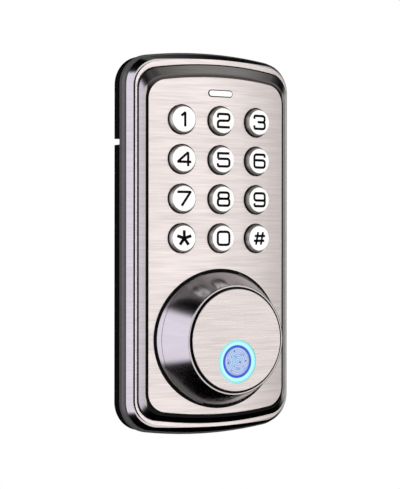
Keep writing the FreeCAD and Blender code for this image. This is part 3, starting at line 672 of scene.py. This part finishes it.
def add_radial_polish(tree, shader, tone):
    """Soft polish with faint streaks that run from the foot of the knob to its rim."""
    x, y, z = coordinates(tree)
    angle = math_node(tree, "ARCTAN2", z, x)
    place = tree.nodes.new("ShaderNodeCombineXYZ")
    tree.links.new(math_node(tree, "MULTIPLY", angle, streaks_per_radian), place.inputs["X"])
    tree.links.new(math_node(tree, "MULTIPLY", y, streaks_per_metre), place.inputs["Y"])
    streak = tree.nodes.new("ShaderNodeTexNoise")
    streak.inputs["Scale"].default_value = 1.0
    streak.inputs["Detail"].default_value = 3.0
    tree.links.new(place.outputs[0], streak.inputs["Vector"])
    streaks = streak.outputs["Fac"]
    drive(shader, "Base Color", between(tree, streaks, scaled(tone, 0.94), scaled(tone, 1.03)))
    drive(shader, "Roughness", between(tree, streaks, 0.15, 0.21))


flank_finish, tree, shader = new_finish("knob flank", dark_tone, 1.0, 0.24)
add_radial_polish(tree, shader, dark_tone)
print("streaks round the knob", round(2 * math.pi * streaks_per_radian))

# %% [markdown]
# The disc is a brushed plate set in the polished shell. The groove between them
# is painted black as shade, and so is the edge of the disc that stands in it. A
# black ring could fill the groove, but that would be a piece that isn't there.
# One mask uses the distance from the axis and the other the direction of the
# surface, so both turn with the knob.

# %% Knob shell and disc
disc_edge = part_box("knob_face")[1].x / MM
groove_width = 0.85
groove_blur = 0.04

shell_finish, tree, shader = new_finish("knob shell", dark_tone, 1.0, 0.24)
add_radial_polish(tree, shader, dark_tone)
groove_edge = disc_edge + groove_width
groove_ends = (groove_edge - groove_blur / 2, groove_edge + groove_blur / 2)
outside = ramp_up(tree, distance_from_axis(tree), *groove_ends)
# painted shade: the groove round the disc is black
look = choose(tree, outside, shade_black_shader(tree), shader.outputs[0])
show(tree, look)

disc_tone = scaled(nickel_tone, 0.85)
disc_finish, tree, shader = new_finish("knob disc", disc_tone, 1.0, 0.3)
add_grain(tree, shader, disc_tone, (0.24, 0.34), 0.07)
# painted shade: the disc's edge in the groove is black
look = choose(tree, facing_front(tree, 0.4, 0.5), shade_black_shader(tree), shader.outputs[0])
show(tree, look)
print("disc radius", round(disc_edge, 2), "mm")

# %% [markdown]
# ### The light ring
#
# The ring round the sensor is a light guide. It is palest a little way out from
# the blue bezel and fades through cyan to its outer edge. It could be lit by a
# lamp under a clear ring, but a ramp on the distance from the sensor's middle
# gives the same fade without noise.

# %% Light ring
ring_low, ring_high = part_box("sensor_ring")
sensor_z = (ring_low.z + ring_high.z) / 2
ring_radius = (ring_high.x - ring_low.x) / 2 / MM
bezel_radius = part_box("sensor_bezel")[1].x / MM


def distance_from_sensor(tree):
    """Distance from the sensor's middle, in millimetres."""
    x, _, z = coordinates(tree)
    return in_mm(tree, length(tree, x, math_node(tree, "SUBTRACT", z, sensor_z)))


ring_finish, tree, shader = new_finish("light ring", (0.02, 0.05, 0.05), 0.0, 0.35,
                                       Specular_IOR_Level=0.2, Emission_Strength=1.0)
fade = tree.nodes.new("ShaderNodeMapRange")
tree.links.new(distance_from_sensor(tree), fade.inputs["Value"])
fade.inputs["From Min"].default_value = bezel_radius
fade.inputs["From Max"].default_value = ring_radius
glow = tree.nodes.new("ShaderNodeValToRGB")
stops = (
    (0.0, (0.30, 0.80, 0.95)),
    (0.28, (0.60, 1.0, 1.0)),
    (0.62, (0.36, 0.90, 0.92)),
    (0.86, (0.22, 0.76, 0.78)),
    (1.0, (0.52, 0.76, 0.74)),
)
for i, (where, tone) in enumerate(stops):
    stop = glow.color_ramp.elements[i] if i < 2 else glow.color_ramp.elements.new(where)
    stop.position = where
    stop.color = (*tone, 1)
tree.links.new(fade.outputs[0], glow.inputs[0])
drive(shader, "Emission Color", glow.outputs[0])
finishes["cyan_light"] = ring_finish
print("ring", round(bezel_radius, 2), "to", round(ring_radius, 2), "mm")

# %% [markdown]
# ## Dress the frame
#
# The record says which slot each part takes its finish from. Assigning through
# the object's own slot leaves the faces of the CAD mesh as they came.

# %% Assign the finishes
slot_of = {entry["node"]: entry["material_slot"] for entry in frame["record"]["subparts"]}


def dress(part, material):
    if not part.material_slots:
        part.data.materials.append(material)
    for place in part.material_slots:
        place.link = "OBJECT"
        place.material = material


for name, part in nodes.items():
    dress(part, finishes[slot_of[name]])
dress(nodes["front_housing"], housing_finish)
dress(nodes["face_plate"], plate_finish)
dress(nodes["knob_shell"], shell_finish)
dress(nodes["knob_collar"], flank_finish)
dress(nodes["status_window"], window_finish)
dress(nodes["knob_face"], disc_finish)
print(sorted(set(slot_of.values())))

# %% [markdown]
# ## Key legends
#
# The numerals are plain technical figures with squared, rounded corners, all
# drawn with one stroke width. The star and the hash have widths of their own. A
# font could do it, but each figure here is only a few straight runs. So each is
# a list of points, its corners are rounded, and the line is thickened into a
# flat ribbon, printed a hair above the key's face.

# %% Draw a ribbon along a line
def rounded_line(points, radius, closed=False):
    """Replaces each corner by a short arc that is tangent to both runs."""
    points = [Vector(p) for p in points]
    count = len(points)
    line = []
    for i, corner in enumerate(points):
        if not closed and i in (0, count - 1):
            line.append(corner)
            continue
        back = points[i - 1] - corner
        ahead = points[(i + 1) % count] - corner
        half = back.angle(ahead) / 2
        reach = min(radius / math.tan(half), back.length / 2, ahead.length / 2)
        start = corner + back.normalized() * reach
        end = corner + ahead.normalized() * reach
        for step in range(7):
            t = step / 6
            line.append(start * (1 - t) ** 2 + corner * 2 * t * (1 - t) + end * t ** 2)
    return line


def ribbon(line, width, closed=False):
    """Left and right edges of a flat ribbon along a line."""
    count = len(line)
    edges = []
    for i, point in enumerate(line):
        before = line[i - 1] if (closed or i) else None
        after = line[(i + 1) % count] if (closed or i < count - 1) else None
        runs = []
        if before is not None and (point - before).length > 1e-9:
            runs.append((point - before).normalized())
        if after is not None and (after - point).length > 1e-9:
            runs.append((after - point).normalized())
        along = sum(runs, Vector((0, 0))).normalized()
        side = Vector((-along.y, along.x))
        stretch = 1 / max(0.45, abs(side.dot(Vector((-runs[0].y, runs[0].x)))))
        edges.append((point + side * width / 2 * stretch, point - side * width / 2 * stretch))
    return edges


# %% [markdown]
# A figure is a list of strokes. Each stroke is a list of points, the radius of
# its corners, and whether it closes on itself. Traced curves would hold the same
# shapes, but points can be read and mended by hand.

# %% The figures, in millimetres about the middle of the key
SQUARE, SHARP = 1.15, 0.12
w, h = 2.62, 2.55
star_arm = 3.1
figures = {
    "key_0": [([(-w, -h), (w, -h), (w, h), (-w, h)], 1.35, True)],
    "key_1": [([(-1.25, 1.25), (0.35, h), (0.35, -h - 0.3)], SHARP, False)],
    "key_2": [([(-w, 1.1), (-w, h), (w, h), (w, 0.0), (-w, -0.1), (-w, -h)], SQUARE, False),
              ([(-w - 0.3, -h), (w + 0.2, -h)], SHARP, False)],
    "key_3": [([(-w, 1.3), (-w, h), (w - 0.1, h), (w - 0.1, 0.1), (-1.0, 0.1)], SQUARE, False),
              ([(-1.0, 0.1), (w, 0.1), (w, -h), (-w, -h), (-w, -1.2)], SQUARE, False)],
    "key_4": [([(1.6, h), (-w - 0.1, -1.15), (w + 0.3, -1.15)], SHARP, False),
              ([(1.6, h + 0.1), (1.6, -h - 0.3)], SHARP, False)],
    "key_5": [([(w, h), (-w + 0.1, h), (-w + 0.1, 0.5)], SHARP, False),
              ([(-w, 0.4), (w, 0.4), (w, -h), (-w, -h), (-w, -1.3)], SQUARE, False)],
    "key_6": [([(w - 0.1, 1.4), (w - 0.1, h), (-w, h), (-w, -h), (w, -h), (w, 0.3), (-w, 0.3)],
               SQUARE, False)],
    "key_7": [([(-w - 0.3, h), (w, h), (-1.1, -h - 0.3)], SHARP, False)],
    "key_8": [([(-w + 0.25, 0.12), (w - 0.25, 0.12), (w - 0.25, h), (-w + 0.25, h)], SQUARE, True),
              ([(-w, -h), (w, -h), (w, 0.12), (-w, 0.12)], SQUARE, True)],
    "key_9": [([(-w + 0.1, -1.4), (-w + 0.1, -h), (w, -h), (w, h), (-w, h), (-w, -0.3), (w, -0.3)],
               SQUARE, False)],
    "key_star": [([(0, 0), (star_arm * math.cos(a), star_arm * math.sin(a))], SHARP, False)
                 for a in map(math.radians, (90, 18, 162, -54, -126))],
    "key_hash": [([(-1.75, -2.5), (-0.65, 2.5)], SHARP, False),
                 ([(0.65, -2.5), (1.75, 2.5)], SHARP, False),
                 ([(-2.4, 0.95), (2.8, 0.95)], SHARP, False),
                 ([(-2.8, -0.95), (2.4, -0.95)], SHARP, False)],
}
stroke = 0.98
strokes = {"key_star": 1.2, "key_hash": 0.95}
print(len(figures), "legends, stroke", stroke, "mm")


# %% [markdown]
# A legend lies on its own key's face, and the three columns of keys point in
# different directions on the bowed plate. The places could be typed in, but the
# key's mesh and its sliding direction give them exactly: the face is whatever
# lies furthest out along that direction.

# %% Find each key's face
def key_face(name):
    """Middle of the key's front face and its axes: across, up and outward."""
    joint = next(j for j in frame["joints"] if j["child"] == name)
    outward = -Vector(joint["axis"])
    heights = [v.co.dot(outward) for v in nodes[name].data.vertices]
    front = max(heights)
    rim = [v.co for v, height in zip(nodes[name].data.vertices, heights) if front - height < 1e-5]
    low = Vector([min(co[i] for co in rim) for i in range(3)])
    high = Vector([max(co[i] for co in rim) for i in range(3)])
    up = Vector((0, 0, 1))
    return (low + high) / 2, up.cross(outward).normalized(), up, outward


def printed(name, lines, width, place, proud=0.03, sunk=0.05):
    """Flat ribbons on a face, as one mesh in the frame's own coordinates."""
    middle, across, up, outward = place
    shape = bmesh.new()
    for points, radius, closed in lines:
        edges = ribbon(rounded_line(points, radius, closed), width, closed)
        rings = []
        for left, right in edges:
            flat = [middle + (across * p.x + up * p.y) * MM for p in (left, right)]
            rings.append([shape.verts.new(p + outward * d * MM) for d in (proud, -sunk) for p in flat])
        pairs = list(zip(rings, rings[1:])) + ([(rings[-1], rings[0])] if closed else [])
        for a, b in pairs:
            for i, j in ((0, 1), (1, 3), (3, 2), (2, 0)):
                shape.faces.new((a[i], a[j], b[j], b[i]))
        if not closed:
            for end in (rings[0], rings[-1]):
                shape.faces.new((end[0], end[1], end[3], end[2]))
    bmesh.ops.recalc_face_normals(shape, faces=shape.faces)
    mesh = bpy.data.meshes.new(name)
    shape.to_mesh(mesh)
    shape.free()
    piece = bpy.data.objects.new(name, mesh)
    bpy.context.scene.collection.objects.link(piece)
    return piece


ink = speckled("black legend ink", (0.002, 0.002, 0.002), 0.6, 0.2, 1500, Specular_IOR_Level=0.1)
for name, lines in figures.items():
    legend = printed("legend_" + name, lines, strokes.get(name, stroke), key_face(name))
    legend.data.materials.append(ink)
    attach(legend, name)
print("key 5 faces", [round(v, 3) for v in key_face("key_5")[3]])

# %% [markdown]
# ## The finger sensor
#
# Under its glass the sensor shows pale ridges like those of a fingertip. They
# could be a wave texture, but bent ribbons keep the lines crisp from close up.
# The ridges are broken rings about a point beside the middle, each turned a
# good way on from the last so that the gaps don't line up, and cut off near the
# rim.

# %% Ridges
low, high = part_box("fingerprint_sensor")
glass_middle = Vector(((low.x + high.x) / 2, low.y, (low.z + high.z) / 2))
glass_radius = (high.x - low.x) / 2 / MM
glass_place = (glass_middle, Vector((1, 0, 0)), Vector((0, 0, 1)), Vector((0, -1, 0)))


def arch(radius, start, end, centre=(0.2, 0.2)):
    """Part of a ring, a little taller than wide, kept inside the glass."""
    steps = max(6, int(abs(end - start) / 9))
    turns = [math.radians(start + (end - start) * i / steps) for i in range(steps + 1)]
    line = [(centre[0] + radius * math.cos(t), centre[1] + 1.12 * radius * math.sin(t)) for t in turns]
    return [p for p in line if math.hypot(*p) < glass_radius - 0.35]


ring_count, first_radius, ring_pitch = 9, 0.55, 0.74
turn_per_ring = 137.5
ridge_width = 0.22
ridges = []
for i in range(ring_count):
    radius = first_radius + ring_pitch * i
    gap = turn_per_ring * i
    for start, end in ((gap, gap + 200), (gap + 222, gap + 345)):
        line = arch(radius, start, end)
        if len(line) > 2:
            ridges.append((line, 0.05, False))
ridge_piece = printed("sensor_ridges", ridges, ridge_width, glass_place, 0.02, 0.04)
ridge_finish = speckled("pale ridges", (0.60, 0.70, 0.92), 0.35, 0.04, 1500,
                        Emission_Color=(0.60, 0.80, 1.0), Emission_Strength=0.22)
ridge_piece.data.materials.append(ridge_finish)
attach(ridge_piece, "knob")
print(len(ridges), "ridges on a glass of radius", round(glass_radius, 2), "mm")

# %% [markdown]
# A few dots lie among the ridges. They could belong to the mesh of the ridges,
# but as two pieces of their own the dark ones and the teal ones each have a
# plain finish.

# %% Dots
dark_places = [(-3.9, -0.5), (1.25, -0.3), (3.85, 0.1), (-1.25, 4.05)]
teal_places = [(-2.5, 1.9), (-0.55, 1.7), (1.5, 2.55), (-1.4, -1.8),
               (0.85, -2.85), (-2.4, -3.3), (2.6, -1.95)]
dark_radius, teal_radius = 0.30, 0.27


def dots(name, places, radius, tone):
    """Flat round dots just in front of the glass, as one mesh."""
    shape = bmesh.new()
    for x, z in places:
        spot = bmesh.ops.create_circle(shape, cap_ends=True, radius=radius * MM, segments=12)
        bmesh.ops.rotate(shape, verts=spot["verts"], matrix=Matrix.Rotation(math.radians(90), 3, "X"))
        bmesh.ops.translate(shape, verts=spot["verts"], vec=glass_middle + Vector((x, -0.03, z)) * MM)
    mesh = bpy.data.meshes.new(name)
    shape.to_mesh(mesh)
    shape.free()
    piece = bpy.data.objects.new(name, mesh)
    bpy.context.scene.collection.objects.link(piece)
    piece.data.materials.append(speckled(name.replace("_", " "), tone, 0.4, 0.1, 1500))
    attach(piece, "knob")


dots("sensor_dots_dark", dark_places, dark_radius, (0.015, 0.012, 0.16))
dots("sensor_dots_teal", teal_places, teal_radius, (0.09, 0.30, 0.42))
print(len(dark_places), "dark dots and", len(teal_places), "teal ones")
